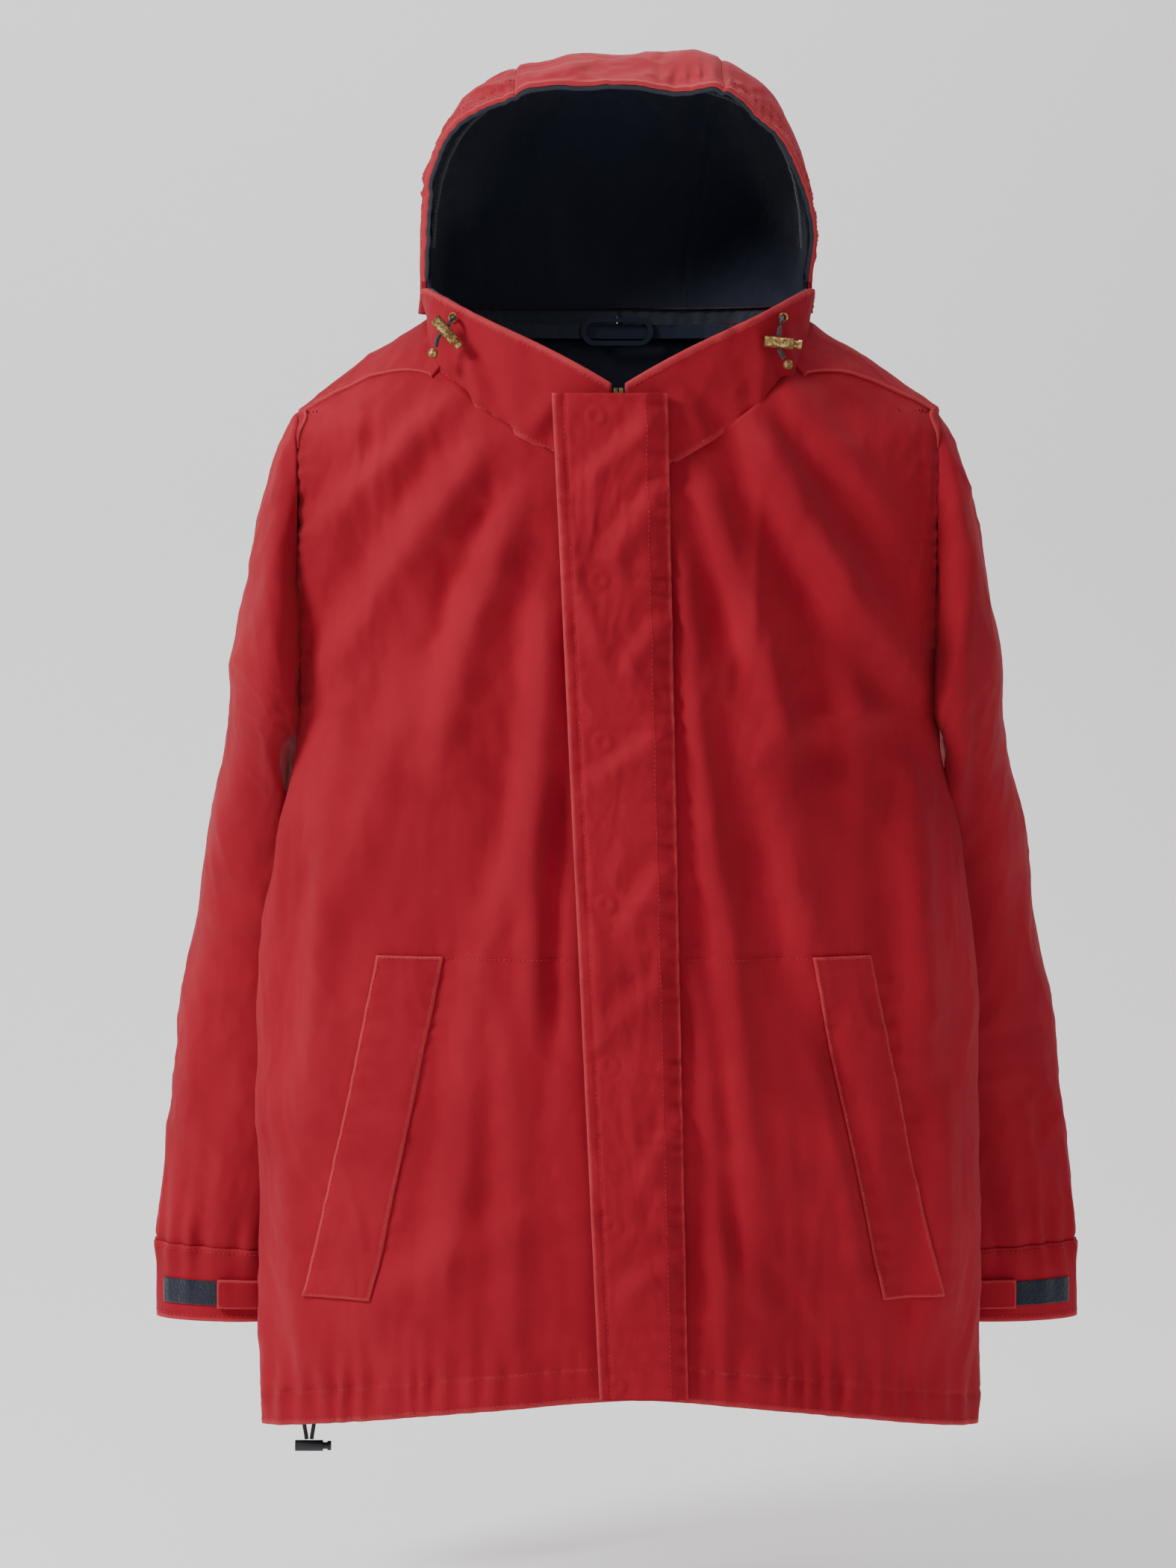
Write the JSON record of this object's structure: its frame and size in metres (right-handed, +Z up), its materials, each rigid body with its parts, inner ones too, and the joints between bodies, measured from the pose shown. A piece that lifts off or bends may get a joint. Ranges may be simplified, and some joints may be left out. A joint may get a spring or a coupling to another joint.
{
  "type": "foul weather jacket",
  "caption": "Hooded sailing jacket with storm flap over a zip, slanted welt pockets, lined body and hood, tabbed cuffs, drawcords with cord locks.",
  "frame": {"origin": "middle of the back neck seam, where the hang loop hangs on a peg", "axes": "+Z up along the jacket, front faces -Y, the wearer's left is +X"},
  "size_m": [0.679, 0.2151, 0.9986],
  "materials": {
    "red_shell": "washed cotton and nylon canvas",
    "red_facing": "washed canvas, inner face",
    "navy_lining": "plain nylon taffeta",
    "charcoal_facing": "brushed cotton twill",
    "black_cord": "braided",
    "aged_brass": "antique, rubbed",
    "spring_steel": "drawn wire",
    "grey_tape": "woven tape",
    "black_plastic": "moulded",
    "hook_and_loop": "hook and loop pile"
  },
  "bodies": {
    "jacket": {"front_panel_left": "red_shell", "front_panel_right": "red_shell", "shoulder_left": "red_shell", "shoulder_right": "red_shell", "back_panel": "red_shell", "back_yoke": "red_shell", "front_facings": "red_shell", "lining_fronts": "navy_lining", "lining_back": "navy_lining", "collar_left": "red_shell", "collar_right": "red_shell", "collar_linings": "charcoal_facing", "neck_tape": "navy_lining", "hang_loop": "navy_lining", "hood_eyelets": "aged_brass", "hood_cord_loops": "black_cord", "hood_lock_left": "aged_brass", "hood_lock_right": "aged_brass", "hood_lock_spring_left": "spring_steel", "hood_lock_spring_right": "spring_steel", "cord_beads": "aged_brass", "snap_studs": "aged_brass", "zip_tapes": "grey_tape", "zip_teeth": "black_plastic", "zip_stops": "aged_brass", "zip_box": "aged_brass", "welt_left": "red_shell", "welt_right": "red_shell", "pocket_bags": "navy_lining", "hem_casing": "red_shell", "hem_drawcord": "black_cord", "hem_lock": "black_plastic"},
    "hood": {"hood_side_left": "red_shell", "hood_side_right": "red_shell", "hood_centre": "red_shell", "hood_lining": "navy_lining", "hood_facing": "charcoal_facing", "hood_drawcord": "black_cord"},
    "flap": {"storm_flap": "red_shell", "flap_facing": "red_facing", "snap_sockets": "aged_brass"},
    "slider": {"zip_slider": "aged_brass"},
    "pull": {"zip_pull": "aged_brass"},
    "left_sleeve": {"sleeve_left": "red_shell", "sleeve_lining_left": "navy_lining", "cuff_left": "red_shell", "cuff_elastic_left": "grey_tape", "loop_patch_left": "hook_and_loop"},
    "right_sleeve": {"sleeve_right": "red_shell", "sleeve_lining_right": "navy_lining", "cuff_right": "red_shell", "cuff_elastic_right": "grey_tape", "loop_patch_right": "hook_and_loop"},
    "left_tab": {"cuff_tab_left": "red_shell", "hook_patch_left": "hook_and_loop"},
    "right_tab": {"cuff_tab_right": "red_shell", "hook_patch_right": "hook_and_loop"},
    "left_plunger": {"hood_lock_plunger_left": "aged_brass"},
    "right_plunger": {"hood_lock_plunger_right": "aged_brass"},
    "hem_plunger": {"hem_lock_plunger": "black_plastic"}
  },
  "joints": [
    {"name": "hood_fold", "type": "hinge", "parent": "jacket", "child": "hood", "pos_m": [0, 0.05968, 0.005], "axis": [-1, 0, 0], "range_deg": [0, 100]},
    {"name": "storm_flap_open", "type": "hinge", "parent": "jacket", "child": "flap", "pos_m": [0.03409, -0.0762, -0.06], "axis": [-0.0215, 0.012, 0.9997], "range_deg": [0, 160]},
    {"name": "zip_slide", "type": "slide", "parent": "jacket", "child": "slider", "axis": [0.0215, -0.012, -0.9997], "range_m": [0, 0.6]},
    {"name": "zip_pull_swing", "type": "hinge", "parent": "slider", "child": "pull", "pos_m": [0.00056, -0.0789, -0.082], "axis": [-1, 0, 0], "range_deg": [0, 4]},
    {"name": "left_sleeve_lift", "type": "hinge", "parent": "jacket", "child": "left_sleeve", "pos_m": [0.2268, 0, -0.064], "axis": [0, -1, 0], "range_deg": [0, 70]},
    {"name": "right_sleeve_lift", "type": "hinge", "parent": "jacket", "child": "right_sleeve", "pos_m": [-0.2268, 0, -0.064], "axis": [0, 1, 0], "range_deg": [0, 70]},
    {"name": "left_cuff_tab_open", "type": "hinge", "parent": "left_sleeve", "child": "left_tab", "pos_m": [0.2469, 0.0487, -0.7156], "axis": [0.0306, 0.026, -0.9992], "range_deg": [0, 60]},
    {"name": "right_cuff_tab_open", "type": "hinge", "parent": "right_sleeve", "child": "right_tab", "pos_m": [-0.2469, 0.0487, -0.7156], "axis": [0.0306, -0.026, 0.9992], "range_deg": [0, 60]},
    {"name": "left_lock_press", "type": "slide", "parent": "jacket", "child": "left_plunger", "axis": [-0.9945, 0, 0.1045], "range_m": [0, 0.003], "stiffness_N_per_m": 300},
    {"name": "right_lock_press", "type": "slide", "parent": "jacket", "child": "right_plunger", "axis": [-0.6691, 0, 0.7431], "range_m": [0, 0.003], "stiffness_N_per_m": 300},
    {"name": "hem_lock_press", "type": "slide", "parent": "jacket", "child": "hem_plunger", "axis": [-1, 0, 0], "range_m": [0, 0.003], "stiffness_N_per_m": 300}
  ]
}
